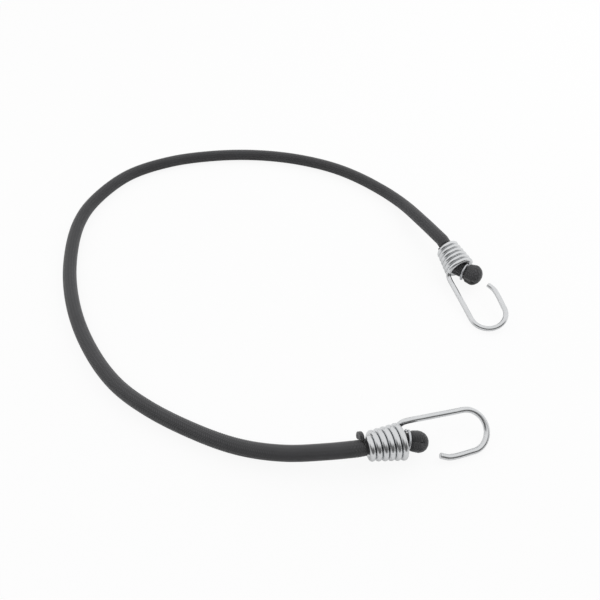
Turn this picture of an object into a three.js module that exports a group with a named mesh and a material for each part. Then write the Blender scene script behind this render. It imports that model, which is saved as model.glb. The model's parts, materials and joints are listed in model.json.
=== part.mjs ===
// Bungee cord: an elastic cord in a braided jacket, lying relaxed in an open loop, with a coiled wire hook on
// each end. The cord runs through the hook's conical coil, is folded back on itself, is held by a ring clip
// round the neck of the fold, and its tail is drawn back through the coil.
// Millimetres and degrees, +Z up. The origin is on the surface that it lies on, midway between the hooks.
import * as THREE from 'three';

// Cord
const cordDiameter = 8.5;
const jacketWall = 0.6;
const jacketSides = 10;
const strandGap = 0.15;
const strandRings = [1, 6, 12];

// Fold at each end of the cord
const foldThickness = 5.3;
const legGap = 0.3;
const shoulderLength = 1.8;
const shoulderShare = 0.7;
const tailLength = 2.4;
const tailThickness = 3.3;
const tailWidth = 7.6;
const partLength = 0.8;
const swellLength = 4.5;
const mainLegDrop = 0.8;
const legThickShare = 0.46;
const legWideShare = 0.8;

// Hook wire, its conical coil and its bend
const wireDiameter = 2.95;
const wireSides = 8;
const wireSteps = 128;
const coilPointsPerTurn = 16;
const bendPointAngle = 15;
const coilTurns = 5.8;
const coilTurnGap = 0.31;
const coilRearBore = 8.7;
const coilFrontBore = 13.3;
const shankTurnRadius = 4.5;
const shankFoot = 9.4;
const hookBendRadius = 10.6;
const hookReach = 44.8;
const hookLegLength = 12.7;
const hookLegFlare = 0.9;
const tipLength = 5;
const tipCurl = 1.6;

// Ring clip round the neck of the fold
const clipBore = 8.6;
const clipWire = 1.5;
const clipEndGap = 1.2;
const clipSides = 6;
const clipSteps = 22;

// Clearance between the cord and what holds it
const fitClearance = 0.3;

// Where the cord enters each coil, which way the hook points, how far the hook is rolled about the coil's
// axis, how far the fold is turned from the hook's plane, how far it leans away from the shank, how far ahead
// of the coil its clip and its bend are, and how wide it is pressed
const ends = {
  near: {
    entry: [-47.8, -68.8], heading: 11.4, hookRoll: 27,
    foldTurn: 5, lean: 14, clipSeat: 0.3, foldLength: 6.1, foldWidth: 10.4,
  },
  far: {
    entry: [18.1, 74.2], heading: -71, hookRoll: 194.7,
    foldTurn: 90, lean: 40, clipSeat: 2, foldLength: 8.3, foldWidth: 12.2,
  },
};

// Route of the free cord from the near coil to the far one: x, y and the lift above where it lies flat
const route = [
  [-66.0, -70.3, 6.5],
  [-87.4, -70.3, 3.5],
  [-109.3, -66.7, 1],
  [-131.2, -59.0, 0],
  [-160.7, -44.6, 0],
  [-183.2, -28.6, 0],
  [-203.7, -4.8, 0],
  [-221.6, 25.8, 0],
  [-234.6, 62.6, 0],
  [-240.1, 104.2, 0],
  [-235.2, 130.2, 0],
  [-216.2, 161.7, 0],
  [-186.8, 179.6, 0],
  [-153.2, 187.8, 0],
  [-117.9, 189.2, 0],
  [-82.6, 183.2, 0],
  [-49.3, 169.4, 0],
  [-20.3, 146.4, 0],
  [-4.4, 125.5, 1.8],
  [7.1, 100.0, 5.8],
];
const freeSteps = 36;
const twistSteps = 6;
const foldSteps = 6;

// Sizes that follow from those above
const cordRadius = cordDiameter / 2;
const boreRadius = cordRadius - jacketWall;
const facetShare = Math.cos(Math.PI / jacketSides);
const lyingHeight = cordRadius * facetShare;
const strandSide = (boreRadius * facetShare) / strandRings.length - strandGap;
const wireRadius = wireDiameter / 2;
const coilAdvance = coilTurns * (wireDiameter + coilTurnGap);
const coilLength = coilAdvance + wireDiameter;
const coilRearRadius = coilRearBore / 2 + wireRadius;
const coilFrontRadius = coilFrontBore / 2 + wireRadius;
const hookBendCentre = hookReach - hookBendRadius;

const { degToRad, lerp, smoothstep } = THREE.MathUtils;
const axis = new THREE.Vector3(1, 0, 0);

// Hook wire in its own frame: x along the coil's axis towards the hook, y towards the shank, z across.
// The coil's front is at x = 0.
function hookPath() {
  const points = [];
  const coilSteps = Math.round(coilTurns * coilPointsPerTurn);
  const coilEnd = -Math.asin(shankTurnRadius / coilFrontRadius);
  for (let i = 0; i < coilSteps; i += 1) {
    const share = i / coilSteps;
    const angle = coilEnd + 2 * Math.PI * coilTurns * (share - 1);
    const radius = lerp(coilRearRadius, coilFrontRadius, share);
    const along = -wireRadius - coilAdvance * (1 - share);
    points.push(new THREE.Vector3(along, radius * Math.cos(angle), radius * Math.sin(angle)));
  }
  for (const degrees of [0, 30, 60, 90]) {
    const turn = degToRad(degrees);
    const across = shankTurnRadius * (Math.sin(turn) - 1);
    const along = shankTurnRadius * (1 - Math.cos(turn)) - wireRadius;
    const step = (shankFoot - coilFrontRadius) * Math.sin(turn) ** 2;
    points.push(new THREE.Vector3(along, Math.sqrt(coilFrontRadius ** 2 - across ** 2) + step, across));
  }
  const shankStart = points.at(-1).x;
  for (const share of [0.3, 0.6, 0.85]) {
    const along = lerp(shankStart, hookBendCentre, share);
    points.push(new THREE.Vector3(along, lerp(shankFoot, hookBendRadius, share), 0));
  }
  for (let degrees = 90; degrees >= -90; degrees -= bendPointAngle) {
    const turn = degToRad(degrees);
    const along = hookBendCentre + hookBendRadius * Math.cos(turn);
    points.push(new THREE.Vector3(along, hookBendRadius * Math.sin(turn), 0));
  }
  const legEnd = hookBendCentre - hookLegLength;
  const legSide = -hookBendRadius - hookLegFlare;
  points.push(new THREE.Vector3(legEnd, legSide, 0));
  points.push(new THREE.Vector3(legEnd - tipLength, legSide + tipCurl, 0));
  return points;
}

// Least gap between the wire's own turns, measured between points at least half a turn apart
function leastSelfGap(curve) {
  const samples = curve.getSpacedPoints(800);
  const apart = Math.round((Math.PI * coilRearRadius * samples.length) / curve.getLength());
  let least = Infinity;
  for (let i = 0; i < samples.length; i += 1) {
    for (let j = i + apart; j < samples.length; j += 1) {
      least = Math.min(least, samples[i].distanceTo(samples[j]));
    }
  }
  return least - wireDiameter;
}

function roundSection(diameter, sides) {
  const section = new THREE.Shape();
  for (let i = 0; i < sides; i += 1) {
    const angle = (2 * Math.PI * i) / sides;
    const x = (diameter / 2) * Math.cos(angle);
    const y = (diameter / 2) * Math.sin(angle);
    if (i === 0) section.moveTo(x, y);
    else section.lineTo(x, y);
  }
  section.closePath();
  return section;
}

function bentWire(curve, diameter, sides, steps) {
  const options = { steps, bevelEnabled: false, extrudePath: curve };
  return new THREE.ExtrudeGeometry(roundSection(diameter, sides), options);
}

// Height of the coil's front centre and slope of its axis with the coil's lip and the hook both on the surface
function restOnSurface(points, roll) {
  const lowest = (list, slope) => Math.min(...list.map((p) => (
    (p.y * Math.sin(roll) + p.z * Math.cos(roll)) * Math.cos(slope) - p.x * Math.sin(slope)
  )));
  const coil = points.filter((p) => p.x <= 0);
  const hook = points.filter((p) => p.x > 0);
  let flat = 0;
  let steep = degToRad(30);
  for (let i = 0; i < 40; i += 1) {
    const middle = (flat + steep) / 2;
    if (lowest(hook, middle) > lowest(coil, middle)) flat = middle;
    else steep = middle;
  }
  return { slope: flat, height: wireRadius - lowest(coil, flat) };
}

// Places an end's frame, with its origin at the centre of the coil's front
function placeEnd(end, points) {
  const roll = degToRad(end.hookRoll);
  const heading = degToRad(end.heading);
  const { slope, height } = restOnSurface(points, roll);
  const ahead = new THREE.Vector3(Math.cos(heading), Math.sin(heading), 0);
  const along = ahead.clone().multiplyScalar(Math.cos(slope)).setZ(-Math.sin(slope));
  const side = new THREE.Vector3(-Math.sin(heading), Math.cos(heading), 0);
  const above = new THREE.Vector3().crossVectors(along, side);
  const shank = side.clone().multiplyScalar(Math.cos(roll)).addScaledVector(above, Math.sin(roll));
  const across = new THREE.Vector3().crossVectors(along, shank);
  const place = new THREE.Group();
  place.quaternion.setFromRotationMatrix(new THREE.Matrix4().makeBasis(along, shank, across));
  place.position.set(end.entry[0], end.entry[1], height);
  place.position.addScaledVector(ahead, coilLength * Math.cos(slope));
  place.updateMatrix();
  return place;
}

// Frame of an end's fold: the way to the tail, the way across the fold, and the lean of what is past the coil
function foldFrame(end) {
  const turn = degToRad(end.foldTurn);
  const toTail = new THREE.Vector3(0, Math.cos(turn), Math.sin(turn));
  const across = new THREE.Vector3().crossVectors(axis, toTail);
  const lean = new THREE.Quaternion().setFromAxisAngle(new THREE.Vector3(0, 0, -1), degToRad(end.lean));
  return { toTail, across, lean };
}

// One of the two legs that share a round bore: its offset from the axis, and half its thickness and width
function legInBore(radius) {
  const thick = radius * legThickShare - legGap / 4;
  return { offset: thick + legGap / 2, thick, wide: radius * legWideShare };
}

// Sections of the cord through one end, in its own frame, from the free cord to the cut end of the tail
function endSections(end) {
  const { toTail, across, lean } = foldFrame(end);
  const none = new THREE.Quaternion();
  const section = (along, offset, out, thick, wide, turned) => ({
    at: axis.clone().multiplyScalar(along).addScaledVector(toTail, offset).applyQuaternion(turned),
    out: out.clone().applyQuaternion(turned),
    across: across.clone().applyQuaternion(turned),
    thick,
    wide,
  });
  const rear = -coilLength - fitClearance;
  const mouth = -wireDiameter;
  const mouthBore = lerp(coilFrontBore, coilRearBore, wireDiameter / coilLength);
  const inRear = legInBore(coilRearBore / 2 - fitClearance);
  const inMouth = legInBore(mouthBore / 2 - fitClearance);
  const inClip = legInBore(clipBore / 2 - fitClearance);
  const clipBack = end.clipSeat - clipWire / 2;
  const clipFront = end.clipSeat + clipWire / 2;
  const shoulderThick = lerp(inClip.thick, foldThickness / 2, shoulderShare);
  const inShoulder = {
    offset: shoulderThick + legGap / 2,
    thick: shoulderThick,
    wide: lerp(inClip.wide, end.foldWidth / 2, shoulderShare),
  };
  const foldRadius = foldThickness / 2 + legGap;
  const tailOffset = cordRadius - mainLegDrop + legGap + tailThickness / 2;
  const leg = (sign) => {
    const out = toTail.clone().multiplyScalar(sign);
    const shared = (along, fit, turned) => section(along, sign * fit.offset, out, fit.thick, fit.wide, turned);
    return [
      shared(rear, inRear, none),
      shared(mouth, inMouth, none),
      shared(clipBack, inClip, lean),
      shared(clipFront, inClip, lean),
      shared(clipFront + shoulderLength, inShoulder, lean),
    ];
  };
  const free = (along) => section(along, -mainLegDrop, toTail.clone().negate(), cordRadius, cordRadius, none);
  const tail = (along) => section(along, tailOffset, toTail, tailThickness / 2, tailWidth / 2, none);
  const sections = [free(rear - swellLength), free(rear - partLength), ...leg(-1)];
  for (let i = 0; i <= foldSteps; i += 1) {
    const turn = (Math.PI * i) / foldSteps;
    const out = axis.clone().multiplyScalar(Math.sin(turn)).addScaledVector(toTail, -Math.cos(turn));
    const along = end.foldLength + foldRadius * Math.sin(turn);
    const offset = -foldRadius * Math.cos(turn);
    sections.push(section(along, offset, out, foldThickness / 2, end.foldWidth / 2, lean));
  }
  sections.push(...leg(1).reverse(), tail(rear - partLength), tail(rear - tailLength));
  return sections;
}

// The same sections in the part's frame. The flip keeps the section's handedness along the cord's whole run.
function placedSections(end, place, flip) {
  const turn = place.quaternion;
  return endSections(end).map((s) => ({
    ...s,
    at: s.at.clone().applyMatrix4(place.matrix),
    out: s.out.clone().applyQuaternion(turn).multiplyScalar(flip),
    across: s.across.clone().applyQuaternion(turn),
  }));
}

// Sections whose own axes are turned by a quarter, so that a fold on edge twists the free cord less
function quarterTurned(sections) {
  return sections.map((s) => ({
    at: s.at,
    out: s.across,
    across: s.out.clone().negate(),
    thick: s.wide,
    wide: s.thick,
  }));
}

// Level frame of a cord that runs along a direction: to its left and up
function levelFrame(along) {
  const left = new THREE.Vector3(0, 0, 1).cross(along).normalize();
  const up = new THREE.Vector3().crossVectors(along, left);
  return { left, up };
}

function twistOf(section, along) {
  const { left, up } = levelFrame(along);
  return Math.atan2(section.across.dot(left), section.across.dot(up));
}

// Sections of the free cord between the two ends, which untwist to lie level
function freeSections(first, last, firstWay, lastWay) {
  const points = route.map(([x, y, lift]) => new THREE.Vector3(x, y, lyingHeight + lift));
  const curve = new THREE.CatmullRomCurve3([first.at, ...points, last.at]);
  const firstTwist = twistOf(first, firstWay);
  const lastTwist = twistOf(last, lastWay);
  const sections = [];
  for (let i = 1; i < freeSteps; i += 1) {
    const at = curve.getPointAt(i / freeSteps);
    at.z = Math.max(at.z, lyingHeight);
    const { left, up } = levelFrame(curve.getTangentAt(i / freeSteps));
    const twist = firstTwist * (1 - smoothstep(i, 0, twistSteps))
      + lastTwist * smoothstep(i, freeSteps - twistSteps, freeSteps);
    sections.push({
      at,
      out: left.clone().multiplyScalar(Math.cos(twist)).addScaledVector(up, -Math.sin(twist)),
      across: up.clone().multiplyScalar(Math.cos(twist)).addScaledVector(left, Math.sin(twist)),
      thick: cordRadius,
      wide: cordRadius,
    });
  }
  console.log(`free cord between the coils ${curve.getLength().toFixed(0)} mm`);
  return sections;
}

// Ring of points round each section. The outline is given for a section of radius 1, and the inset is what the
// wall takes off the section's half thickness and half width.
function ringsAlong(sections, outline, inset) {
  return sections.map((s) => outline.map(([x, y]) => s.at.clone()
    .addScaledVector(s.out, x * (s.thick - inset))
    .addScaledVector(s.across, y * (s.wide - inset))));
}

function skin(triangles, rings, inward) {
  for (let i = 0; i + 1 < rings.length; i += 1) {
    const count = rings[i].length;
    for (let j = 0; j < count; j += 1) {
      const k = (j + 1) % count;
      const [a, b, c, d] = [rings[i][j], rings[i][k], rings[i + 1][k], rings[i + 1][j]];
      if (inward) triangles.push(a, c, b, a, d, c);
      else triangles.push(a, b, c, a, c, d);
    }
  }
}

function solid(triangles) {
  const geometry = new THREE.BufferGeometry().setFromPoints(triangles);
  geometry.computeVertexNormals();
  return geometry;
}

// Hollow jacket, open at both cut ends
function jacketGeometry(sections) {
  const outline = [];
  for (let i = 0; i < jacketSides; i += 1) {
    const angle = -Math.PI / 2 + (Math.PI * (2 * i + 1)) / jacketSides;
    outline.push([Math.cos(angle), Math.sin(angle)]);
  }
  const outer = ringsAlong(sections, outline, 0);
  const inner = ringsAlong(sections, outline, jacketWall);
  const triangles = [];
  skin(triangles, outer, false);
  skin(triangles, inner, true);
  skin(triangles, [inner[0], outer[0]], false);
  skin(triangles, [outer.at(-1), inner.at(-1)], false);
  return solid(triangles);
}

// Square-cut rubber strand at a distance and an angle from the middle of the cord
function strandGeometry(sections, distance, angle) {
  const half = strandSide / 2;
  const outline = [[-1, -1], [1, -1], [1, 1], [-1, 1]].map(([r, t]) => {
    const radial = distance + r * half;
    const sideways = t * half;
    return [
      (radial * Math.cos(angle) - sideways * Math.sin(angle)) / boreRadius,
      (radial * Math.sin(angle) + sideways * Math.cos(angle)) / boreRadius,
    ];
  });
  const rings = ringsAlong(sections, outline, jacketWall);
  const triangles = [];
  skin(triangles, rings, false);
  const [a, b, c, d] = rings[0];
  triangles.push(a, c, b, a, d, c);
  const [e, f, g, h] = rings.at(-1);
  triangles.push(e, f, g, e, g, h);
  return solid(triangles);
}

// Distance of each ring of strands from the middle, one strand and its gap further out each time
function strandDistances() {
  const first = (strandSide / 2) * (1 + 1 / Math.tan(Math.PI / strandRings[1])) + strandGap / 2;
  const corner = Math.hypot(first + strandSide / 2, strandSide / 2);
  return [0, first, corner + strandGap + strandSide / 2];
}

// Ring clip closed round both legs of the fold, its two ends nearly meeting on the tail's side
function clipCurve(end) {
  const { toTail, across, lean } = foldFrame(end);
  const radius = (clipBore + clipWire) / 2;
  const opening = (clipWire + clipEndGap) / radius / 2;
  const points = [];
  for (let i = 0; i <= clipSteps; i += 1) {
    const angle = lerp(opening, 2 * Math.PI - opening, i / clipSteps);
    const at = axis.clone().multiplyScalar(end.clipSeat);
    at.addScaledVector(toTail, radius * Math.cos(angle)).addScaledVector(across, radius * Math.sin(angle));
    points.push(at.applyQuaternion(lean));
  }
  return new THREE.CatmullRomCurve3(points);
}

function named(name, geometry, color, roughness, metalness) {
  const mesh = new THREE.Mesh(geometry, new THREE.MeshStandardMaterial({ color, roughness, metalness }));
  mesh.name = name;
  return mesh;
}

function listed(vector) {
  return vector.toArray().map((n) => n.toFixed(4)).join(', ');
}

const steel = (name, geometry) => named(name, geometry, 0xc4c7ca, 0.3, 1);
const rubber = (name, geometry) => named(name, geometry, 0xd6c7a1, 0.7, 0);
const braid = (name, geometry) => named(name, geometry, 0x333335, 0.85, 0);

const bungee = new THREE.Group();
const wirePoints = hookPath();
const wireCurve = new THREE.CatmullRomCurve3(wirePoints);
console.log(`hook wire, least gap to itself ${leastSelfGap(wireCurve).toFixed(2)} mm`);

const places = {};
for (const [name, end] of Object.entries(ends)) {
  places[name] = placeEnd(end, wirePoints);
  places[name].add(steel(`${name}_hook`, bentWire(wireCurve, wireDiameter, wireSides, wireSteps)));
  places[name].add(steel(`${name}_clip`, bentWire(clipCurve(end), clipWire, clipSides, clipSteps)));
  bungee.add(places[name]);
  const way = axis.clone().transformDirection(places[name].matrix);
  console.log(`${name} coil front at ${listed(places[name].position)} mm, its axis along ${listed(way)}`);
}

const nearEnd = placedSections(ends.near, places.near, 1);
const farEnd = quarterTurned(placedSections(ends.far, places.far, -1));
const nearWay = axis.clone().negate().applyQuaternion(places.near.quaternion);
const farWay = axis.clone().applyQuaternion(places.far.quaternion);
const cord = [
  ...nearEnd.toReversed(),
  ...freeSections(nearEnd[0], farEnd[0], nearWay, farWay),
  ...farEnd,
];
bungee.add(braid('cord_jacket', jacketGeometry(cord)));
strandDistances().forEach((distance, ring) => {
  for (let i = 0; i < strandRings[ring]; i += 1) {
    const angle = (2 * Math.PI * i) / strandRings[ring];
    bungee.add(rubber(`rubber_strand_${ring}_${i + 1}`, strandGeometry(cord, distance, angle)));
  }
});

export default bungee;
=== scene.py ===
"""Bungee cord: a braided elastic cord lying in an open loop, with a coiled wire hook on each end.

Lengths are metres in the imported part's own frame, +Z up.
"""

import json
import math
from dataclasses import dataclass

import bmesh
import bpy
import numpy as np
from bpy.props import FloatProperty, FloatVectorProperty, IntProperty, PointerProperty
from mathutils import Matrix, Quaternion, Vector


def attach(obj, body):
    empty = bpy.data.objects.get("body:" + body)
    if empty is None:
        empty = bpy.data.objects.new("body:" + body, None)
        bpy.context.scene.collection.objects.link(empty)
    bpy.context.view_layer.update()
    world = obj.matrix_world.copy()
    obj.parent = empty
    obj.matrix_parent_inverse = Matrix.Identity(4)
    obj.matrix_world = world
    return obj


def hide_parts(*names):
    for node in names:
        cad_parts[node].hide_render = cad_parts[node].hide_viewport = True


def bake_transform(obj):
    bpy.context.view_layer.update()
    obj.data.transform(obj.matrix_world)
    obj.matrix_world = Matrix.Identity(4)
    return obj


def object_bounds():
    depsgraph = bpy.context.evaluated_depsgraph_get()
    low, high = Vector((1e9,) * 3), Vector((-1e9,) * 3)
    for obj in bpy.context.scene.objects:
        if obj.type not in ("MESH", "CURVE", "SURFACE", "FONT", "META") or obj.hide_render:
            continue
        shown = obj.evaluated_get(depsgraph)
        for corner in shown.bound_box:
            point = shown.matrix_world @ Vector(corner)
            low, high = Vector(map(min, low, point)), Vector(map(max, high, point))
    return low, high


bl_info = {
    "name": "Bungee Cord",
    "version": (1, 0, 0),
    "blender": (4, 5, 0),
    "location": "View3D > Sidebar > Bungee Cord",
    "description": "Dresses a packed bungee cord with its braid, core, wire hooks and ring clips",
    "category": "Object",
}

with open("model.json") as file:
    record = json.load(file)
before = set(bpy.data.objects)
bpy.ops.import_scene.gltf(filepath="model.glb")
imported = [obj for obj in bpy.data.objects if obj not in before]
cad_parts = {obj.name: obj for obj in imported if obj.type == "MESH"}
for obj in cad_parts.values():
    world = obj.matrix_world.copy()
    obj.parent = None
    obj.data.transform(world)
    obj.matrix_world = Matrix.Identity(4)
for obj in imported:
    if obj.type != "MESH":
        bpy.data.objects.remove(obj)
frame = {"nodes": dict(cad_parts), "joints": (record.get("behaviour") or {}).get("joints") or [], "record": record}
CAD_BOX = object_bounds()
JOINTS = {joint["name"]: joint for joint in frame["joints"]}
FINISHES = {finish["slot"]: finish["base_color"] for finish in frame["record"]["materials"]}
STRANDS = sorted(node for node in frame["nodes"] if node.startswith("rubber_strand"))

# The bake's map, in strips, and the map of the place round and along a cord or wire
BAKE_MAP = "OFBake"
RUN_MAP = "run"

# Rings of the jacket's mesh in a crossing of the braid, and strips of the bake's map for the jacket
PER_CROSSING = 3
FREE_STRIPS = 6
FOLD_STRIPS = 3

# Filaments across a yarn, and the share of its height that it keeps where it goes under others
FILAMENTS = 5
YARN_DIP = 0.4

# Rings of a tail's sealed end, from its middle to its edge: how far behind the cut each is, and how
# far it is let in, as a share of the tail's half thickness
CUT_RINGS = [(0.0003, 0.99), (0.0001, 0.8), (0.0, 0.5), (0.0, 0.2), (0.0001, 0.06)]

# Sides of the solid jacket, inside whose flats the strands fit
JACKET_SIDES = 10

# How near each other the two edges of a tube's seam are when they are merged
SEAM = 1e-6

# The round on a wire's cut end, as a share of its thickness, and the rings in it
WIRE_ROUND = 0.18
ROUND_RINGS = 4

# A way that no wire starts along, from which its rings are turned
ASIDE = (0.3, 0.5, 0.8)

# Scale of the draw lines: round a wire per turn, and along it per metre
DRAW_LINES = (34.0, 60.0, 1.0)

# Darkest and lightest shade of each finish, as shares of its colour
# For the yarn, the darkest share is painted shade in the valleys between the yarns and the lightest is painted
# light on their crowns
YARN_SHADES = (0.5, 2.1)
RUBBER_SHADES = (0.8, 1.12)
STEEL_SHADES = (0.86, 1.1)

WHITE = (1.0, 1.0, 1.0, 1.0)

# Columns of a section's row
AT, OUT, ACROSS = slice(0, 3), slice(3, 6), slice(6, 9)
THICK, WIDE, FLAT = slice(9, 10), slice(10, 11), slice(11, 12)

# The free cord from the near coil to the far one: x, y and the lift above where it lies flat
ROUTE = [
    (-0.0660, -0.0708, 0.0058),
    (-0.0874, -0.0706, 0.0033),
    (-0.1093, -0.0667, 0.0010),
    (-0.1312, -0.0590, 0.0),
    (-0.1607, -0.0446, 0.0),
    (-0.1832, -0.0286, 0.0),
    (-0.2037, -0.0048, 0.0),
    (-0.2216, 0.0258, 0.0),
    (-0.2346, 0.0626, 0.0),
    (-0.2401, 0.1042, 0.0),
    (-0.2352, 0.1302, 0.0),
    (-0.2162, 0.1617, 0.0),
    (-0.1868, 0.1796, 0.0),
    (-0.1532, 0.1878, 0.0),
    (-0.1179, 0.1892, 0.0),
    (-0.0826, 0.1832, 0.0),
    (-0.0493, 0.1694, 0.0),
    (-0.0203, 0.1464, 0.0),
    (-0.0044, 0.1255, 0.0018),
    (0.0071, 0.1000, 0.0058),
]


@dataclass
class End:
    """One end of the cord.

    How its hook and its fold are turned about the coil's axis and how the fold leans, in degrees,
    how far ahead of the coil its clip and its bend are, and how wide the fold is.
    """

    name: str
    hook_roll: float
    fold_turn: float
    lean: float
    clip_seat: float
    fold_length: float
    fold_width: float


NEAR = End(
    "near",
    hook_roll=27.0,
    fold_turn=5.0,
    lean=14.0,
    clip_seat=0.0003,
    fold_length=0.0061,
    fold_width=0.0104,
)
FAR = End(
    "far",
    hook_roll=194.7,
    fold_turn=90.0,
    lean=40.0,
    clip_seat=0.0020,
    fold_length=0.0083,
    fold_width=0.0122,
)


class BungeeCordSizes(bpy.types.PropertyGroup):
    """Sizes and colour of the braided cord."""

    diameter: FloatProperty(
        name="Diameter",
        description="Across the yarns of the relaxed cord",
        default=0.0085,
        unit="LENGTH",
    )
    jacket_wall: FloatProperty(
        name="Jacket wall",
        description="Thickness of the braided jacket",
        default=0.0006,
        unit="LENGTH",
    )
    carriers: IntProperty(
        name="Yarns each way",
        description="Yarns that wind round the cord in each direction",
        default=16,
    )
    relief: FloatProperty(
        name="Relief",
        description="Depth of the valleys between the yarns",
        default=0.00022,
        unit="LENGTH",
    )
    braid_pitch: FloatProperty(
        name="Braid pitch",
        description="Length of cord from one crossing to the next",
        default=0.00125,
        unit="LENGTH",
    )
    strand_gap: FloatProperty(
        name="Strand gap", description="Room between rubber strands", default=0.00015, unit="LENGTH"
    )
    braid_colour: FloatVectorProperty(
        name="Braid",
        description="Colour of the yarn",
        subtype="COLOR",
        default=FINISHES["braid"][:3],
    )
    rubber_colour: FloatVectorProperty(
        name="Rubber",
        description="Colour of the strands",
        subtype="COLOR",
        default=FINISHES["rubber"][:3],
    )


class BungeeFoldSizes(bpy.types.PropertyGroup):
    """Sizes of the fold that holds each hook on the cord."""

    thickness: FloatProperty(
        name="Thickness", description="Of the cord in the bight", default=0.0061, unit="LENGTH"
    )
    press: FloatProperty(
        name="Press", description="Of the two legs into each other", default=0.0005, unit="LENGTH"
    )
    shoulder_length: FloatProperty(
        name="Shoulder",
        description="From the clip to where the bight fills out",
        default=0.0018,
        unit="LENGTH",
    )
    shoulder_share: FloatProperty(
        name="Shoulder share",
        description="How much of the bight's size the shoulder has",
        default=0.7,
    )
    tail_length: FloatProperty(
        name="Tail", description="Tail behind the coil", default=0.0022, unit="LENGTH"
    )
    tail_seat: FloatProperty(
        name="Tail seat", description="Tail's middle from the axis", default=0.0059, unit="LENGTH"
    )
    tail_thickness: FloatProperty(
        name="Tail thickness", description="Of the cut end", default=0.0040, unit="LENGTH"
    )
    tail_width: FloatProperty(
        name="Tail width", description="Of the cut end", default=0.0076, unit="LENGTH"
    )
    part_length: FloatProperty(
        name="Part",
        description="From the coil to where cord and tail part",
        default=0.00015,
        unit="LENGTH",
    )
    swell_length: FloatProperty(
        name="Swell",
        description="From the coil to where the free cord starts",
        default=0.0045,
        unit="LENGTH",
    )
    drop: FloatProperty(
        name="Drop", description="Of the cord below the coil's axis", default=0.0003, unit="LENGTH"
    )
    taper: FloatProperty(
        name="Taper",
        description="How much narrower the bight is at its tip",
        default=0.16,
        subtype="FACTOR",
    )
    leg_thick_share: FloatProperty(
        name="Leg thickness", description="Share of a bore's radius", default=0.485
    )
    leg_wide_share: FloatProperty(
        name="Leg width", description="Share of a bore's radius", default=0.86
    )
    end_tilt: FloatProperty(
        name="End tilt",
        description="Slope of the cord's end where it meets the coil's turn",
        default=0.25,
    )
    flattening: FloatProperty(
        name="Flattening",
        description="How flat the two legs press each other",
        default=0.85,
        subtype="FACTOR",
    )
    clearance: FloatProperty(
        name="Clearance",
        description="Between the cord and what holds it",
        default=0.0003,
        unit="LENGTH",
    )


class BungeeHookSizes(bpy.types.PropertyGroup):
    """Sizes and finish of the wire hooks."""

    wire: FloatProperty(
        name="Wire", description="Diameter of the hook's wire", default=0.0031, unit="LENGTH"
    )
    turns: FloatProperty(name="Turns", description="Turns of the conical coil", default=5.8)
    turn_gap: FloatProperty(
        name="Turn gap", description="Between the coil's turns", default=0.00016, unit="LENGTH"
    )
    rear_bore: FloatProperty(
        name="Rear bore", description="Bore where the cord enters", default=0.00855, unit="LENGTH"
    )
    front_bore: FloatProperty(
        name="Front bore", description="Bore at the fold", default=0.01315, unit="LENGTH"
    )
    shank_turn: FloatProperty(
        name="Shank turn",
        description="Radius of the bend from coil to shank",
        default=0.0045,
        unit="LENGTH",
    )
    shank_foot: FloatProperty(
        name="Shank foot",
        description="From the axis to the start of the shank",
        default=0.0094,
        unit="LENGTH",
    )
    bend_radius: FloatProperty(
        name="Bend", description="Radius of the hook's bend", default=0.0106, unit="LENGTH"
    )
    reach: FloatProperty(
        name="Reach",
        description="From the coil to the end of the bend",
        default=0.0448,
        unit="LENGTH",
    )
    leg_length: FloatProperty(
        name="Leg", description="Straight of the return leg", default=0.0127, unit="LENGTH"
    )
    leg_flare: FloatProperty(
        name="Flare", description="How far the leg opens out", default=0.0009, unit="LENGTH"
    )
    tip_length: FloatProperty(
        name="Tip", description="Length of the curled tip", default=0.005, unit="LENGTH"
    )
    tip_curl: FloatProperty(
        name="Curl", description="How far the tip curls in", default=0.0016, unit="LENGTH"
    )
    colour: FloatVectorProperty(
        name="Zinc",
        description="Colour of the plating",
        subtype="COLOR",
        default=FINISHES["hook_steel"][:3],
    )
    roughness: FloatProperty(
        name="Roughness", description="Of the plating", default=0.22, subtype="FACTOR"
    )


class BungeeClipSizes(bpy.types.PropertyGroup):
    """Sizes and finish of the ring clips."""

    bore: FloatProperty(
        name="Bore", description="Inside of the closed ring", default=0.0086, unit="LENGTH"
    )
    wire: FloatProperty(
        name="Wire", description="Diameter of the ring's wire", default=0.0015, unit="LENGTH"
    )
    end_gap: FloatProperty(
        name="End gap", description="Between the ring's ends", default=0.0012, unit="LENGTH"
    )
    colour: FloatVectorProperty(
        name="Steel",
        description="Colour of the ring",
        subtype="COLOR",
        default=FINISHES["clip_steel"][:3],
    )
    roughness: FloatProperty(
        name="Roughness", description="Of the steel", default=0.38, subtype="FACTOR"
    )


class BungeeStageSettings(bpy.types.PropertyGroup):
    """Camera, floor and light."""

    eye: FloatVectorProperty(
        name="Eye",
        description="Where the camera stands",
        subtype="XYZ",
        default=(-0.0801, -0.17835, 0.25542),
    )
    pitch: FloatProperty(
        name="Pitch",
        description="Camera below the horizon",
        default=math.radians(50),
        subtype="ANGLE",
    )
    lens: FloatProperty(name="Lens", description="Focal length in millimetres", default=31.03)
    floor_size: FloatProperty(
        name="Floor", description="Side of the floor", default=8.0, unit="LENGTH"
    )
    floor_colour: FloatVectorProperty(
        name="Floor colour",
        description="Colour of the floor",
        subtype="COLOR",
        default=(0.90, 0.90, 0.90),
    )
    floor_glow: FloatProperty(
        name="Floor glow",
        description="Share of plain white in the floor as it is seen",
        default=0.9,
    )
    floor_mirrored: FloatProperty(
        name="Floor mirrored", description="Share of that white that the steel mirrors", default=0.3
    )
    key_power: FloatProperty(name="Key", description="Lamp on the right", default=1.4, unit="POWER")
    fill_power: FloatProperty(
        name="Fill", description="Lamp on the left", default=0.6, unit="POWER"
    )
    room: FloatProperty(
        name="Room", description="Brightness of the dim room behind the camera", default=0.15
    )
    sky: FloatProperty(name="Sky", description="Strength of the light from all round", default=0.95)


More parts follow.
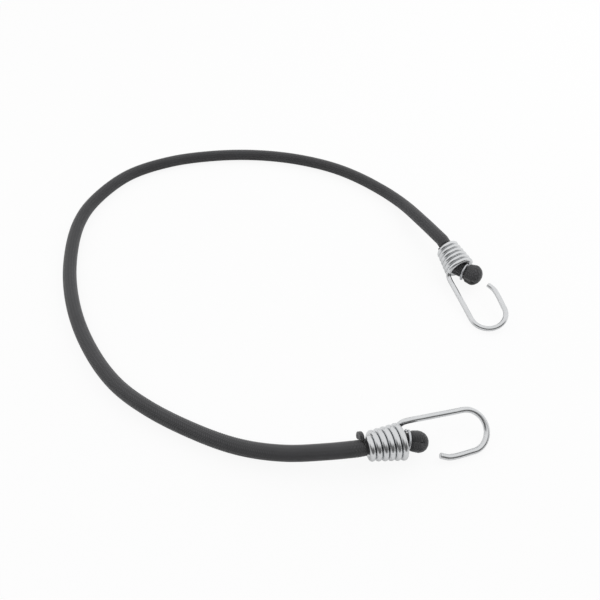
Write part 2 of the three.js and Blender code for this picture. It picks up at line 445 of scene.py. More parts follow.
class BungeeSettings(bpy.types.PropertyGroup):
    """All that the panel shows."""

    cord: PointerProperty(type=BungeeCordSizes)
    fold: PointerProperty(type=BungeeFoldSizes)
    hook: PointerProperty(type=BungeeHookSizes)
    clip: PointerProperty(type=BungeeClipSizes)
    stage: PointerProperty(type=BungeeStageSettings)


class Value:
    """An output socket. Arithmetic on it adds Math nodes to its tree."""

    def __init__(self, tree, socket):
        self.tree = tree
        self.socket = socket

    def math(self, operation, *others):
        return self.tree.math(operation, self, *others)

    def __add__(self, other):
        return self.math("ADD", other)

    def __radd__(self, other):
        return self.tree.math("ADD", other, self)

    def __sub__(self, other):
        return self.math("SUBTRACT", other)

    def __rsub__(self, other):
        return self.tree.math("SUBTRACT", other, self)

    def __mul__(self, other):
        return self.math("MULTIPLY", other)

    def __rmul__(self, other):
        return self.tree.math("MULTIPLY", other, self)

    def __lt__(self, other):
        return self.math("LESS_THAN", other)


class Tree:
    """A node tree whose nodes all come from one method."""

    def __init__(self, owner):
        owner.use_nodes = True
        self.tree = owner.node_tree
        self.tree.nodes.clear()

    def node(self, kind, settings=None, inputs=None, output=0):
        made = self.tree.nodes.new(kind)
        for key, setting in (settings or {}).items():
            setattr(made, key, setting)
        for key, value in (inputs or {}).items():
            if isinstance(value, Value):
                self.tree.links.new(value.socket, made.inputs[key])
            else:
                made.inputs[key].default_value = value
        if not made.outputs:
            return None
        return Value(self, made.outputs[output])

    def math(self, operation, *values):
        return self.node("ShaderNodeMath", {"operation": operation}, dict(enumerate(values)))

    def mix(self, share, first, second):
        """A colour between two others."""
        inputs = {"Factor": share, "A": rgba(first), "B": rgba(second)}
        return self.node("ShaderNodeMix", {"data_type": "RGBA"}, by_kind(inputs), output=2)

    def smooth(self, value, low, high):
        """0 below a low value, 1 above a high one, and smooth between them."""
        inputs = {"Value": value, "From Min": low, "From Max": high}
        return self.node("ShaderNodeMapRange", {"interpolation_type": "SMOOTHSTEP"}, inputs)

    def noise(self, vector, scale, detail=2.0):
        inputs = {"Vector": vector, "Scale": scale, "Detail": detail}
        return self.node("ShaderNodeTexNoise", None, inputs)

    def bump(self, height, strength, distance):
        inputs = {"Strength": strength, "Distance": distance, "Height": height}
        return self.node("ShaderNodeBump", None, inputs, output="Normal")

    def place(self):
        """Where a point of the piece is."""
        return self.node("ShaderNodeTexCoord", None, None, output="Object")

    def part(self, vector, axis):
        """One part of a vector."""
        return self.node("ShaderNodeSeparateXYZ", None, {"Vector": vector}, output=axis)

    def ray(self, kind):
        """1 for rays of one kind, and 0 for others."""
        return self.node("ShaderNodeLightPath", None, None, output=kind)

    def surface(self, **inputs):
        """A Principled surface joined to the output, with _ for a space in its sockets' names."""
        named = {name.replace("_", " "): value for name, value in inputs.items()}
        shader = self.node("ShaderNodeBsdfPrincipled", None, named)
        self.node("ShaderNodeOutputMaterial", None, {"Surface": shader})


def by_kind(inputs):
    """A colour Mix node's sockets by their place, because it has others of the same names."""
    return {{"Factor": 0, "A": 6, "B": 7}[key]: value for key, value in inputs.items()}


def rgba(colour):
    return colour if isinstance(colour, Value) else (*colour[:3], 1.0)


def shades(colour, factors):
    return [tuple(min(1.0, part * factor) for part in colour) for factor in factors]


def settings():
    return bpy.context.scene.bungee


# Lines and sections

def smooth_line(rows, per_span):
    """Points on a centripetal spline through rows of numbers, the first three of them a place."""
    rows = np.asarray(rows, float)
    rows = np.vstack([2 * rows[0] - rows[1], rows, 2 * rows[-1] - rows[-2]])
    knots = np.sqrt(np.linalg.norm(np.diff(rows[:, AT], axis=0), axis=1))
    t = np.linspace(0, 1, per_span, endpoint=False)[:, None]
    line = []
    for i in range(1, len(rows) - 2):
        before, here, after = knots[i - 1 : i + 2]
        a, b, c, d = rows[i - 1 : i + 3]
        leave = here * ((b - a) / before - (c - a) / (before + here) + (c - b) / here)
        arrive = here * ((c - b) / here - (d - b) / (here + after) + (d - c) / after)
        line.append(
            (2 * t**3 - 3 * t**2 + 1) * b
            + (t**3 - 2 * t**2 + t) * leave
            + (3 * t**2 - 2 * t**3) * c
            + (t**3 - t**2) * arrive
        )
    line.append(rows[-2:-1])
    return np.vstack(line)


def run_along(line):
    """How far along the line each of its rows is."""
    spans = np.linalg.norm(np.diff(line[:, AT], axis=0), axis=1)
    return np.concatenate([[0], np.cumsum(spans)])


def spaced(line, runs):
    """The line's rows at given lengths along it."""
    along = run_along(line)
    return np.stack([np.interp(runs, along, column) for column in line.T], axis=1)


def unit(vectors):
    return vectors / np.linalg.norm(vectors, axis=1)[:, None]


@dataclass
class Section:
    """A section of the cord: middle, two axes, half sizes, and how flat its inner side is."""

    at: Vector
    out: Vector
    across: Vector
    thick: float
    wide: float
    flat: float

    def row(self):
        return [*self.at, *self.out, *self.across, self.thick, self.wide, self.flat]

    def turned_back(self):
        """The section with its way out reversed, so that its axes run on from the free cord's."""
        return Section(self.at, -self.out, self.across, self.thick, self.wide, -self.flat)


def placing(end):
    """The matrix of an end's frame at the coil's front: x along its axis, y towards the shank."""
    swivel = JOINTS[f"{end.name}_hook_swivel"]
    along = Vector(swivel["axis"]).normalized()
    side = Vector((0, 0, 1)).cross(along).normalized()
    above = along.cross(side)
    roll = math.radians(end.hook_roll)
    shank = side * math.cos(roll) + above * math.sin(roll)
    turn = Matrix((along, shank, along.cross(shank))).transposed()
    return Matrix.Translation(swivel["pos_m"]) @ turn.to_4x4()


def coil_length(hook):
    return hook.turns * (hook.wire + hook.turn_gap) + hook.wire


def leg_in_bore(fold, radius):
    """Half thickness and half width of one of the two legs that share a bore."""
    return radius * fold.leg_thick_share + fold.press / 4, radius * fold.leg_wide_share


def fold_axes(end):
    """The way to the tail, the way across the fold, and the lean of what is past the coil."""
    turn = math.radians(end.fold_turn)
    to_tail = Vector((0, math.cos(turn), math.sin(turn)))
    lean = Quaternion((0, 0, -1), math.radians(end.lean))
    return to_tail, Vector((1, 0, 0)).cross(to_tail), lean


def fold_sections(end, bight_steps=24):
    """The cord through one end, from the free cord to the cut end of the tail."""
    cord, fold, hook, clip = settings().cord, settings().fold, settings().hook, settings().clip
    ahead = Vector((1, 0, 0))
    to_tail, across, lean = fold_axes(end)
    straight = Quaternion()
    matrix = placing(end)

    def section(along, offset, out, half, turned, flat):
        at = turned @ (ahead * along + to_tail * offset)
        return Section(
            matrix @ at,
            (matrix.to_3x3() @ (turned @ out)).normalized(),
            (matrix.to_3x3() @ (turned @ across)).normalized(),
            *half,
            flat,
        )

    length = coil_length(hook)
    rear = -length - fold.clearance
    mouth_bore = hook.front_bore + (hook.rear_bore - hook.front_bore) * hook.wire / length
    in_rear, in_mouth, in_clip = (
        leg_in_bore(fold, bore / 2 - fold.clearance)
        for bore in (hook.rear_bore, mouth_bore, clip.bore)
    )
    in_bight = fold.thickness / 2, end.fold_width / 2
    in_shoulder = [a + (b - a) * fold.shoulder_share for a, b in zip(in_clip, in_bight)]
    clip_front = end.clip_seat + clip.wire / 2
    stations = [
        (rear, in_rear, straight),
        (-hook.wire, in_mouth, straight),
        (end.clip_seat - clip.wire / 2, in_clip, lean),
        (clip_front, in_clip, lean),
        (clip_front + fold.shoulder_length, in_shoulder, lean),
    ]

    def leg(side):
        out = to_tail * side
        return [
            section(along, side * (half[0] - fold.press / 2), out, half, turned, 1.0)
            for along, half, turned in stations
        ]

    bend = fold.thickness / 2 - fold.press
    bight = []
    for i in range(bight_steps + 1):
        turn = math.pi * i / bight_steps
        out = ahead * math.sin(turn) - to_tail * math.cos(turn)
        along = end.fold_length + bend * math.sin(turn)
        half = in_bight[0], in_bight[1] * (1 - fold.taper * math.sin(turn) ** 2)
        offset, flat = -bend * math.cos(turn), abs(math.cos(turn))
        bight.append(section(along, offset, out, half, lean, flat))

    radius = cord.diameter / 2
    in_free, in_tail = (radius, radius), (fold.tail_thickness / 2, fold.tail_width / 2)
    free = [
        section(rear - back, -fold.drop, ahead * tilt - to_tail, in_free, straight, 0.0)
        for back, tilt in ((fold.swell_length, 0.0), (fold.part_length, fold.end_tilt))
    ]
    tail = [
        section(rear - back, fold.tail_seat, to_tail, in_tail, straight, 1.0)
        for back in (fold.part_length, fold.tail_length)
    ]
    return [*free, *leg(-1), *bight, *reversed(leg(1)), *tail]


def level_axes(along):
    """The level way to the left of a cord that runs along a direction, and the way up from it."""
    left = Vector((0, 0, 1)).cross(along).normalized()
    return left, along.cross(left)


def free_sections(first, last, count=400, per_span=40, twist_share=0.2):
    """The free cord between the two ends, which lies flat and untwists away from them."""
    radius = settings().cord.diameter / 2
    points = [first.at, *(Vector((x, y, radius + lift)) for x, y, lift in ROUTE), last.at]
    line = smooth_line(points, per_span)
    line = spaced(line, np.linspace(0, run_along(line)[-1], count + 1))
    line[:, 2] = np.maximum(line[:, 2], radius)
    ways = [Vector(row) for row in np.gradient(line, axis=0)]

    def twist(section, way):
        left, up = level_axes(way.normalized())
        return math.atan2(section.across.dot(left), section.across.dot(up))

    first_twist, last_twist = twist(first, ways[0]), twist(last, ways[-1])
    sections = []
    for i in range(1, count):
        left, up = level_axes(ways[i].normalized())
        start = min(1.0, i / count / twist_share)
        stop = min(1.0, (count - i) / count / twist_share)
        ease = [t * t * (3 - 2 * t) for t in (start, stop)]
        angle = first_twist * (1 - ease[0]) + last_twist * (1 - ease[1])
        out = left * math.cos(angle) - up * math.sin(angle)
        across = up * math.cos(angle) + left * math.sin(angle)
        sections.append(Section(Vector(line[i]), out, across, radius, radius, 0.0))
    return sections


def rounded(rows, spread):
    """Rows with their corners rounded over a spread, given in rows, and both ends kept."""
    reach = math.ceil(3 * spread)
    share = np.exp(-0.5 * (np.arange(-reach, reach + 1) / spread) ** 2)
    share /= share.sum()
    padded = np.pad(rows, ((reach, reach), (0, 0)), mode="reflect", reflect_type="odd")
    return np.stack([np.convolve(column, share, mode="valid") for column in padded.T], axis=1)


@dataclass
class CordLine:
    """The cord as rows of sections, its free length's start and stop, and its braid's pitch."""

    rows: np.ndarray
    start: float
    stop: float
    pitch: float

    @property
    def end(self):
        return run_along(self.rows)[-1]

    def at(self, runs):
        rows = spaced(self.rows, runs)
        for axis in (OUT, ACROSS):
            rows[:, axis] = unit(rows[:, axis])
        return rows


def cord_line(fine=0.0001, rounding=0.00025):
    """The cord from tail to tail, with a whole number of braid crossings between the coils."""
    near = fold_sections(NEAR)
    far = [section.turned_back() for section in fold_sections(FAR)]
    free = free_sections(near[0], far[0])
    rows = np.array([section.row() for section in [*reversed(near), *free, *far]])
    along = run_along(rows)
    line = rounded(spaced(rows, np.arange(0.0, along[-1], fine)), rounding / fine)
    runs = run_along(line)
    start, stop = (runs[round(along[i] / fine)] for i in (len(near) - 1, len(near) + len(free)))
    crossings = (stop - start) / settings().cord.braid_pitch
    steps = FREE_STRIPS * round(crossings * PER_CROSSING / FREE_STRIPS)
    return CordLine(line, start, stop, PER_CROSSING * (stop - start) / steps)


# Meshes

def rolled_tube(bm, points, runs, turns=1.0, lap=0.0):
    """Rolls a grid into a tube, from each ring's row of places and how far along the ring is."""
    rings, sides = points.shape[:2]
    layer = bm.loops.layers.uv.get(RUN_MAP) or bm.loops.layers.uv.new(RUN_MAP)
    grid = bmesh.ops.create_grid(bm, x_segments=sides, y_segments=rings - 1, size=0.5)["verts"]
    spots = {}
    for vert in grid:
        column = round((vert.co.x + 0.5) * sides)
        row = round((vert.co.y + 0.5) * (rings - 1))
        spots[vert] = (column, row)
    for vert, (column, row) in spots.items():
        vert.co = points[row][column % sides]
        for loop in vert.link_loops:
            loop[layer].uv = (lap + turns * column / sides, runs[row])
    seam = [vert for vert, (column, _) in spots.items() if column in (0, sides)]
    bmesh.ops.remove_doubles(bm, verts=seam, dist=SEAM)


def finished(bm, name, material, strips=1):
    """Closes the ends, lays the bake's map out in strips and makes the object."""
    rims = [edge for edge in bm.edges if edge.is_boundary]
    bmesh.ops.holes_fill(bm, edges=rims, sides=0)
    bmesh.ops.recalc_face_normals(bm, faces=bm.faces)
    lay_out(bm, strips)
    for face in bm.faces:
        face.smooth = len(face.verts) == 4
    mesh = bpy.data.meshes.new(name)
    bm.to_mesh(mesh)
    bm.free()
    mesh.materials.append(material)
    piece = bpy.data.objects.new(name, mesh)
    bpy.context.scene.collection.objects.link(piece)
    return piece


def lay_out(bm, strips, margin=0.03):
    """The bake's map: the run map cut into strips of equal length, one above the other."""
    run = bm.loops.layers.uv[RUN_MAP]
    bake = bm.loops.layers.uv.new(BAKE_MAP)
    corners = [loop[run].uv for face in bm.faces for loop in face.loops]
    most = max(uv.x for uv in corners)
    low, high = min(uv.y for uv in corners), max(uv.y for uv in corners)
    for face in bm.faces:
        shares = [(loop[run].uv.y - low) / (high - low) * strips for loop in face.loops]
        strip = min(strips - 1, int(sum(shares) / len(shares)))
        for loop, share in zip(face.loops, shares):
            across = margin + (1 - 2 * margin) * loop[run].uv.x / most
            loop[bake].uv = (min(1.0, max(0.0, share - strip)), (strip + across) / strips)


def braid_height(around, run):
    """Height of the braid, 0 to 1, at places in crossings. Each yarn goes over two, under two."""
    a, b = around + run, around - run
    step = np.mod(np.floor(a) + np.floor(b), 4)
    fa, fb = a - np.floor(a), b - np.floor(b)
    over = step < 2
    crown = np.sin(np.pi * np.where(over, fa, fb))
    float_over = np.sin(np.pi * np.where(over, step + fb, step - 2 + fa) / 2)
    return crown * (YARN_DIP + (1 - YARN_DIP) * float_over)


def places(rows, out, across):
    """Places at distances along each section's two axes, a row of them for each section."""
    middle, out_way, across_way = (rows[:, None, axis] for axis in (AT, OUT, ACROSS))
    return middle + out[:, :, None] * out_way + across[:, :, None] * across_way


def jacket_rings(rows, sides, inset):
    """Rings of places round the cord, whose surface is let in by inset, a number for each place."""
    turn = 2 * np.pi * np.arange(sides) / sides
    x, y = np.cos(turn), np.sin(turn)
    flat = np.abs(rows[:, FLAT])
    inner = rows[:, FLAT] * x < 0
    inset = inset * np.where(inner, 1 - flat, 1.0)
    x = np.sign(x) * np.abs(x) ** np.where(inner, 1 - settings().fold.flattening * flat, 1.0)
    return places(rows, (rows[:, THICK] - inset) * x, (rows[:, WIDE] - inset) * y)


def braided(line, start, stop, name, material, strips, slack=0.01):
    """A length of the jacket with its braid in relief, and the middles of its rings."""
    cord = settings().cord
    step = line.pitch / PER_CROSSING
    first = math.ceil((start - line.start) / step - slack)
    last = math.floor((stop - line.start) / step + slack)
    marks = step * np.arange(first, last + 1)
    runs = line.start + marks
    sides = cord.carriers * PER_CROSSING
    around = np.arange(sides)[None, :] / PER_CROSSING
    inset = cord.relief * (1 - braid_height(around, marks[:, None] / line.pitch))
    if start == 0.0:
        runs, marks, inset = with_cut(runs, marks, inset, 0.0, 1)
    if stop == line.end:
        ends = with_cut(runs[::-1], marks[::-1], inset[::-1], line.end, -1)
        runs, marks, inset = (column[::-1] for column in ends)
    rows = line.at(runs)
    bm = bmesh.new()
    rolled_tube(bm, jacket_rings(rows, sides, inset), marks / line.pitch, turns=cord.carriers)
    return finished(bm, name, material, strips), rows[:, AT]


def with_cut(runs, marks, inset, cut, way, map_step=0.0003):
    """Rings with those of a sealed end before them. The map runs on over the end to its middle."""
    depth, share = np.array(CUT_RINGS).T
    shift = runs[0] - marks[0]
    beyond = cut - shift - way * map_step * np.arange(len(depth), 0, -1)
    sealed = np.repeat(share[:, None] * settings().fold.tail_thickness / 2, inset.shape[1], axis=1)
    return (
        np.concatenate([cut + way * depth, runs]),
        np.concatenate([beyond, marks]),
        np.concatenate([sealed, inset]),
    )


def wire_rings(centres, radii, sides):
    """Rings round a wire, carried along its line without twist."""
    ways = unit(np.gradient(centres, axis=0))
    normal = unit(np.cross(ways[:1], [ASIDE]))[0]
    turn = 2 * np.pi * np.arange(sides) / sides
    rings = []
    for centre, way, radius in zip(centres, ways, radii):
        normal = normal - way * (normal @ way)
        normal /= np.linalg.norm(normal)
        other = np.cross(way, normal)
        around = np.outer(np.cos(turn), normal) + np.outer(np.sin(turn), other)
        rings.append(centre + radius * around)
    return np.array(rings)


def wire(line, diameter, name, material, step, sides, strips):
    """Round wire along a line, with a small round on its two cut ends."""
    length = run_along(line)[-1]
    rings = strips * round(length / step / strips)
    chamfer = WIRE_ROUND * diameter
    corner = chamfer * (1 - np.cos(np.linspace(0, np.pi / 2, ROUND_RINGS, endpoint=False)))
    body = np.linspace(chamfer, length - chamfer, rings + 1)
    runs = np.concatenate([corner, body, (length - corner)[::-1]])
    past_cut = np.minimum(1, np.minimum(runs, length - runs) / chamfer)
    radii = diameter / 2 - chamfer * (1 - np.sqrt(1 - (1 - past_cut) ** 2))
    bm = bmesh.new()
    rolled_tube(bm, wire_rings(spaced(line, runs), radii, sides), runs)
    return finished(bm, name, material, strips)


def hook_line(per_turn=16, per_span=12):
    """The hook wire's middle in an end's own frame: coil, shank, bend, return leg and tip."""
    hook = settings().hook
    radius = hook.wire / 2
    rear, front = hook.rear_bore / 2 + radius, hook.front_bore / 2 + radius
    advance = hook.turns * (hook.wire + hook.turn_gap)
    coil_end = -math.asin(hook.shank_turn / front)
    points = []
    steps = round(hook.turns * per_turn)
    for i in range(steps):
        share = i / steps
        angle = coil_end + 2 * math.pi * hook.turns * (share - 1)
        reach = rear + (front - rear) * share
        along = -radius - advance * (1 - share)
        points.append((along, reach * math.cos(angle), reach * math.sin(angle)))
    for degrees in (0, 30, 60, 90):
        turn = math.radians(degrees)
        across = hook.shank_turn * (math.sin(turn) - 1)
        along = hook.shank_turn * (1 - math.cos(turn)) - radius
        rise = (hook.shank_foot - front) * math.sin(turn) ** 2
        points.append((along, math.sqrt(front**2 - across**2) + rise, across))
    start, bend = points[-1][0], hook.reach - hook.bend_radius
    for share in (0.3, 0.6, 0.85):
        side = hook.shank_foot + (hook.bend_radius - hook.shank_foot) * share
        points.append((start + (bend - start) * share, side, 0.0))
    for degrees in range(90, -91, -15):
        turn = math.radians(degrees)
        along, side = hook.bend_radius * math.cos(turn), hook.bend_radius * math.sin(turn)
        points.append((bend + along, side, 0.0))
    leg_end, leg_side = bend - hook.leg_length, -hook.bend_radius - hook.leg_flare
    points.append((leg_end, leg_side, 0.0))
    points.append((leg_end - hook.tip_length, leg_side + hook.tip_curl, 0.0))
    return smooth_line(points, per_span)


def clip_line(end, steps=90):
    """The ring clip's middle in an end's own frame. Its ends nearly meet on the tail's side."""
    clip = settings().clip
    to_tail, across, lean = fold_axes(end)
    radius = (clip.bore + clip.wire) / 2
    opening = (clip.wire + clip.end_gap) / radius / 2
    middle = Vector((end.clip_seat, 0, 0))
    points = []
    for angle in np.linspace(opening, 2 * math.pi - opening, steps):
        at = middle + to_tail * radius * math.cos(angle) + across * radius * math.sin(angle)
        points.append(lean @ at)
    return np.array(points)


def placed(line, end):
    """A line from an end's own frame, in the part's frame."""
    matrix = np.array(placing(end))
    return line @ matrix[:3, :3].T + matrix[:3, 3]


# Finishes

def braid_finish():
    """Matte black yarn, over two and under two, with its filaments, fuzz and paler patches; its crowns and
    filaments are painted lighter and the valleys between the yarns painted darker, as painted light and shade.
    """
    cord = settings().cord
    material = bpy.data.materials.get("braided_yarn")
    if material:
        return material
    material = bpy.data.materials.new("braided_yarn")
    tree = Tree(material)
    run = tree.node("ShaderNodeUVMap", {"uv_map": RUN_MAP})
    around, along = tree.part(run, "X"), tree.part(run, "Y")
    a, b = around + along, around - along
    step = (a.math("FLOOR") + b.math("FLOOR")).math("FLOORED_MODULO", 4.0)
    over = step < 2.0
    fa, fb = a.math("FRACT"), b.math("FRACT")
    across = over * fa + (1.0 - over) * fb
    share = over * (step + fb) * 0.5 + (1.0 - over) * (step - 2.0 + fa) * 0.5
    crown = (across * math.pi).math("SINE")
    float_over = (share * math.pi).math("SINE")
    height = crown * (YARN_DIP + (1 - YARN_DIP) * float_over)
    filament = (across * (2 * math.pi * FILAMENTS)).math("SINE") * 0.5 + 0.5
    place = tree.place()
    patches = tree.noise(place, scale=55.0, detail=3.0)
    fuzz = tree.noise(place, scale=2600.0, detail=2.0)
    # What lightens the yarn, and what raises it. The lightening is painted light on the yarns' crowns and
    # filaments and painted shade in the valleys between them, with fuzz and patches that vary the tone at random
    painted_light_and_tone = height * 0.75 + filament * 0.12 + fuzz * 0.25 + (patches - 0.5) * 0.35
    relief = height + filament * 0.12 + fuzz * 0.2
    tree.surface(
        Base_Color=tree.mix(painted_light_and_tone, *shades(cord.braid_colour, YARN_SHADES)),
        Roughness=0.82 - height * 0.14,
        Normal=tree.bump(relief, strength=0.35, distance=cord.relief),
        Specular_IOR_Level=0.5,
        Sheen_Weight=0.4,
        Sheen_Roughness=0.45,
    )
    return material


def rubber_finish():
    """Natural latex, a little mottled."""
    cord = settings().cord
    material = bpy.data.materials.get("latex_strands")
    if material:
        return material
    material = bpy.data.materials.new("latex_strands")
    tree = Tree(material)
    mottle = tree.noise(tree.place(), scale=900.0, detail=3.0)
    tree.surface(
        Base_Color=tree.mix(mottle, *shades(cord.rubber_colour, RUBBER_SHADES)),
        Roughness=0.55 + mottle * 0.2,
        Normal=tree.bump(mottle, strength=0.3, distance=0.00005),
    )
    return material


def drawn_steel(name, bright, roughness):
    """Plated wire: draw lines along it, a soft mottle in the plating and duller patches."""
    material = bpy.data.materials.new(name)
    tree = Tree(material)
    run = tree.node("ShaderNodeUVMap", {"uv_map": RUN_MAP})
    lines = tree.node("ShaderNodeMapping", None, {"Vector": run, "Scale": DRAW_LINES})
    draw = tree.noise(lines, scale=1.0, detail=3.0)
    place = tree.place()
    spangle = tree.noise(place, scale=700.0, detail=2.0)
    patches = tree.noise(place, scale=120.0, detail=2.0)
    tone = patches * 0.6 + draw * 0.4
    tree.surface(
        Base_Color=tree.mix(tone, *shades(bright, STEEL_SHADES)),
        Metallic=1.0,
        Roughness=roughness + (spangle - 0.5) * 0.16 + (patches - 0.5) * 0.12,
        Normal=tree.bump(draw, strength=0.1, distance=0.00003),
    )
    return material


def floor_finish():
    """A pale floor that keeps the cord's shadow, white to the eye and less so in the steel."""
    stage = settings().stage
    material = bpy.data.materials.new("pale_floor")
    tree = Tree(material)
    mirrored = tree.ray("Is Glossy Ray") * stage.floor_mirrored
    seen = tree.ray("Is Camera Ray").math("MAXIMUM", mirrored)
    seen = seen.math("MAXIMUM", tree.ray("Is Transmission Ray")) * stage.floor_glow
    matte = tree.node("ShaderNodeBsdfDiffuse", None, {"Color": rgba(stage.floor_colour)})
    glow = tree.node("ShaderNodeEmission", None, {"Color": WHITE, "Strength": 1.0})
    mixed = tree.node("ShaderNodeMixShader", None, {0: seen, 1: matte, 2: glow})
    tree.node("ShaderNodeOutputMaterial", None, {"Surface": mixed})
    return material


# Operators

class BungeeStage(bpy.types.Operator):
    """Make the camera, the floor and the light."""

    bl_idname = "bungee.stage"
    bl_label = "Stage"

    # Where each lamp hangs, and how wide it is
    key_lamp = (0.42, 0.40, 0.55), 0.55
    fill_lamp = (-0.75, 0.10, 0.50), 0.60

    # From where to where the room dims, going back, and clears again, going up
    dim_back = 0.10, 0.45
    dim_top = 0.62, 0.90

    def execute(self, context):
        stage = settings().stage
        scene = context.scene
        scene.view_settings.view_transform = "Standard"
        self.camera(scene, stage)
        self.floor(scene, stage)
        self.lamp(scene, "key", *self.key_lamp, stage.key_power)
        self.lamp(scene, "fill", *self.fill_lamp, stage.fill_power)
        self.sky(scene, stage)
        return {"FINISHED"}

    def camera(self, scene, stage):
        data = bpy.data.cameras.new("camera")
        data.sensor_width = 36.0
        data.lens = stage.lens
        data.clip_start, data.clip_end = 0.01, 20.0
        camera = bpy.data.objects.new("camera", data)
        camera.location = stage.eye
        camera.rotation_euler = (math.pi / 2 - stage.pitch, 0.0, 0.0)
        scene.collection.objects.link(camera)
        scene.camera = camera

    def floor(self, scene, stage):
        bm = bmesh.new()
        bmesh.ops.create_grid(bm, x_segments=1, y_segments=1, size=stage.floor_size / 2)
        bmesh.ops.translate(bm, verts=bm.verts, vec=(0, 0, CAD_BOX[0].z))
        mesh = bpy.data.meshes.new("floor")
        bm.to_mesh(mesh)
        bm.free()
        mesh.materials.append(floor_finish())
        floor = bpy.data.objects.new("floor", mesh)
        scene.collection.objects.link(floor)

    def lamp(self, scene, name, place, size, power):
        data = bpy.data.lights.new(name, "AREA")
        data.size = size
        data.energy = power
        lamp = bpy.data.objects.new(name, data)
        lamp.location = place
        lamp.visible_glossy = False
        target = (CAD_BOX[0] + CAD_BOX[1]) / 2
        lamp.rotation_euler = (target - lamp.location).to_track_quat("-Z", "Y").to_euler()
        scene.collection.objects.link(lamp)

    def sky(self, scene, stage):
        """A pale room that the steel mirrors, dim behind the camera, and plain white to the eye."""
        world = bpy.data.worlds.new("studio")
        scene.world = world
        tree = Tree(world)
        way = tree.node("ShaderNodeTexCoord", None, None, output="Generated")
        back, up = -1.0 * tree.part(way, "Y"), tree.part(way, "Z")
        dim = tree.smooth(back, *self.dim_back) * (1.0 - tree.smooth(up, *self.dim_top))
        bright, dark, plain = (
            tree.node("ShaderNodeBackground", None, {"Color": WHITE, "Strength": strength})
            for strength in (stage.sky, stage.sky * stage.room, 1.0)
        )
        room = tree.node("ShaderNodeMixShader", None, {0: dim, 1: bright, 2: dark})
        seen = tree.ray("Is Camera Ray").math("MAXIMUM", tree.ray("Is Transmission Ray"))
        surface = tree.node("ShaderNodeMixShader", None, {0: seen, 1: room, 2: plain})
        tree.node("ShaderNodeOutputWorld", None, {"Surface": surface})


class BungeeRubberCore(bpy.types.Operator):
    """Make the rubber strands inside the jacket, from one cut tail to the other."""

    bl_idname = "bungee.rubber_core"
    bl_label = "Rubber core"

    # Strands in each ring, rings of the mesh along each length, and how far inside the cuts it ends
    rings = (1, 6, 12)
    fold_steps, free_steps = 90, 110
    from_cut = 0.0005

    # How much of a strand's half side its corners take
    corner_ease = 0.3

    def execute(self, context):
        line = cord_line()
        first, last = self.from_cut, line.end - self.from_cut
        near = self.core(line, np.linspace(first, line.start, self.fold_steps), "near_core")
        far = self.core(line, np.linspace(line.stop, last, self.fold_steps), "far_core")
        free = self.core(line, np.linspace(line.start, line.stop, self.free_steps), "free_core")
        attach(near, "near_end")
        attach(far, "cord")
        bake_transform(free)
        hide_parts(*STRANDS)
        return {"FINISHED"}

    def core(self, line, runs, name):
        """All the strands over a length of the cord."""
        cord = settings().cord
        bore = cord.diameter / 2 - cord.jacket_wall
        side = bore * math.cos(math.pi / JACKET_SIDES) / len(self.rings) - cord.strand_gap
        rows = line.at(runs)
        bm = bmesh.new()
        made = 0
        for distance, count in zip(self.distances(side, cord.strand_gap), self.rings):
            for i in range(count):
                outline = self.strand(rows, distance, 2 * math.pi * i / count, side, bore)
                rolled_tube(bm, outline, runs, lap=made)
                made += 1
        return finished(bm, name, rubber_finish())

    def distances(self, side, gap):
        """How far each ring of strands is from the middle."""
        first = side / 2 * (1 + 1 / math.tan(math.pi / self.rings[1])) + gap / 2
        corner = math.hypot(first + side / 2, side / 2)
        return 0.0, first, corner + gap + side / 2

    def strand(self, rows, distance, angle, side, bore):
        """Rings of a square strand with eased corners."""
        half, ease = side / 2, self.corner_ease
        corner = [(1, -1 + ease), (1, 1 - ease), (1 - ease, 1), (-1 + ease, 1)]
        outline = np.array(corner + [(-x, -y) for x, y in corner]) * half
        radial, sideways = distance + outline[:, 0], outline[:, 1]
        x = (radial * math.cos(angle) - sideways * math.sin(angle)) / bore
        y = (radial * math.sin(angle) + sideways * math.cos(angle)) / bore
        wall = settings().cord.jacket_wall
        return places(rows, (rows[:, THICK] - wall) * x, (rows[:, WIDE] - wall) * y)


class BungeeFolds(bpy.types.Operator):
    """Make the jacket of both folded ends: the legs through the coil, the bight and the tail."""

    bl_idname = "bungee.folds"
    bl_label = "Folded ends"

    def execute(self, context):
        line = cord_line()
        near, _ = braided(line, 0.0, line.start, "near_fold", braid_finish(), FOLD_STRIPS)
        far, _ = braided(line, line.stop, line.end, "far_fold", braid_finish(), FOLD_STRIPS)
        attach(near, "near_end")
        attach(far, "cord")
        return {"FINISHED"}


class BungeeFreeCord(bpy.types.Operator):
    """Make the free cord between the two coils."""

    bl_idname = "bungee.free_cord"
    bl_label = "Free cord"

    def execute(self, context):
        line = cord_line()
        cord, path = braided(line, line.start, line.stop, "free_cord", braid_finish(), FREE_STRIPS)
        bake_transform(cord)
        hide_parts("cord_jacket")
        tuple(path[0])
        return {"FINISHED"}


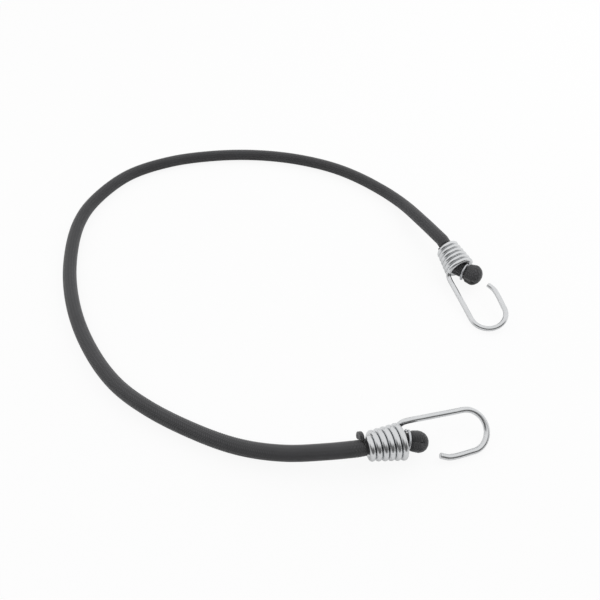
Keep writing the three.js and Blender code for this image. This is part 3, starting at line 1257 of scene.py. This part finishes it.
class BungeeHooks(bpy.types.Operator):
    """Make the two wire hooks."""

    bl_idname = "bungee.hooks"
    bl_label = "Hooks"

    mesh = {"step": 0.00045, "sides": 28, "strips": 6}

    def execute(self, context):
        hook = settings().hook
        zinc = drawn_steel("zinc_wire", hook.colour, hook.roughness)
        for end in (NEAR, FAR):
            node = f"{end.name}_hook"
            line = placed(hook_line(), end)
            piece = wire(line, hook.wire, f"{node}_wire", zinc, **self.mesh)
            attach(piece, node)
            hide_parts(node)
        return {"FINISHED"}


class BungeeClips(bpy.types.Operator):
    """Make the ring clip round the neck of each fold."""

    bl_idname = "bungee.clips"
    bl_label = "Ring clips"

    bodies = {"near": "near_end", "far": "cord"}
    mesh = {"step": 0.00025, "sides": 24, "strips": 2}

    def execute(self, context):
        clip = settings().clip
        steel = drawn_steel("clip_wire", clip.colour, clip.roughness)
        for end in (NEAR, FAR):
            node = f"{end.name}_clip"
            line = placed(clip_line(end), end)
            piece = wire(line, clip.wire, f"{node}_ring", steel, **self.mesh)
            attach(piece, self.bodies[end.name])
            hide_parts(node)
        return {"FINISHED"}


class BungeePanel(bpy.types.Panel):
    """The bungee cord's pieces and sizes."""

    bl_idname = "BUNGEE_PT_panel"
    bl_label = "Bungee Cord"
    bl_space_type = "VIEW_3D"
    bl_region_type = "UI"
    bl_category = "Bungee Cord"

    def draw(self, context):
        for operator in OPERATORS:
            self.layout.operator(operator.bl_idname)
        for name in ("cord", "fold", "hook", "clip", "stage"):
            group = getattr(settings(), name)
            box = self.layout.box()
            box.label(text=name.title())
            for key in group.__annotations__:
                box.prop(group, key)


GROUPS = (
    BungeeCordSizes,
    BungeeFoldSizes,
    BungeeHookSizes,
    BungeeClipSizes,
    BungeeStageSettings,
    BungeeSettings,
)
OPERATORS = (BungeeStage, BungeeRubberCore, BungeeFolds, BungeeFreeCord, BungeeHooks, BungeeClips)


def register():
    for group in (*GROUPS, *OPERATORS, BungeePanel):
        bpy.utils.register_class(group)
    bpy.types.Scene.bungee = PointerProperty(type=BungeeSettings)


def unregister():
    del bpy.types.Scene.bungee
    for group in reversed((*GROUPS, *OPERATORS, BungeePanel)):
        bpy.utils.unregister_class(group)


def main():
    register()
    bpy.ops.bungee.stage()
    bpy.ops.bungee.rubber_core()
    bpy.ops.bungee.folds()
    bpy.ops.bungee.free_cord()
    bpy.ops.bungee.hooks()
    bpy.ops.bungee.clips()


if __name__ == "__main__":
    main()
